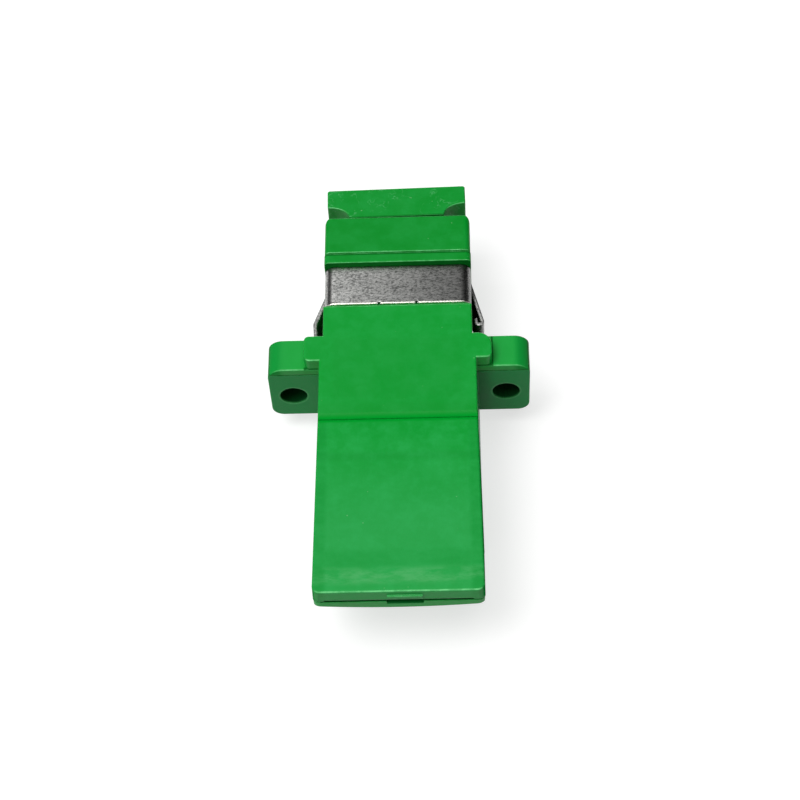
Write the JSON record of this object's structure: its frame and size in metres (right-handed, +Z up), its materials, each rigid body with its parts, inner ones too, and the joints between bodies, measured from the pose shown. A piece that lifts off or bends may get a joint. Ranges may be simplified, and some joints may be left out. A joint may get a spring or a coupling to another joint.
{
  "type": "fibre optic adapter",
  "caption": "Panel adapter for SC plugs with screw ears, a spring panel clip, a hooded front port with a sprung laser shutter, and a dust cap in the rear port.",
  "frame": {"origin": "midway between the two screw holes, in the ears' face that seats on the panel; the optical axis passes through it", "axes": "+Y along the optical axis out of the rear port, +X along the line of the two ears, +Z up, away from the keyways and the shutter's hinge"},
  "size_m": [0.022, 0.0401, 0.0101],
  "materials": {
    "housing_green": "moulded plastic with a fine satin grain",
    "cover_green": "moulded plastic, satin, slightly polished edges",
    "hood_green": "moulded plastic, satin, faintly worn towards the tip",
    "door_green": "moulded plastic, satin",
    "cap_green": "moulded plastic, satin, with light scuffs",
    "clip_steel": "stainless spring sheet, finely speckled",
    "pin_steel": "drawn stainless wire",
    "spring_steel": "drawn stainless spring wire",
    "insert_plastic": "moulded plastic, plain",
    "sleeve_ceramic": "polished white zirconia"
  },
  "bodies": {
    "body": {"housing": "housing_green", "cover": "cover_green", "front_hood": "hood_green", "hinge_pin_left": "pin_steel", "hinge_pin_right": "pin_steel", "torsion_spring": "spring_steel", "panel_clip": "clip_steel", "latch_insert_front": "insert_plastic", "latch_insert_rear": "insert_plastic", "split_sleeve": "sleeve_ceramic"},
    "shutter": {"shutter_door": "door_green"},
    "cap": {"dust_cap": "cap_green"}
  },
  "joints": [
    {"name": "shutter_hinge", "type": "hinge", "parent": "body", "child": "shutter", "pos_m": [0, -0.0156, -0.00435], "axis": [1, 0, 0], "range_deg": [0, 110], "stiffness_Nm_per_rad": 0.0002, "springref_deg": -57.3, "deforming": ["torsion_spring"]},
    {"name": "cap_pull", "type": "slide", "parent": "body", "child": "cap", "axis": [-0.0175, 0.9998, 0], "range_m": [0, 0.01]}
  ]
}
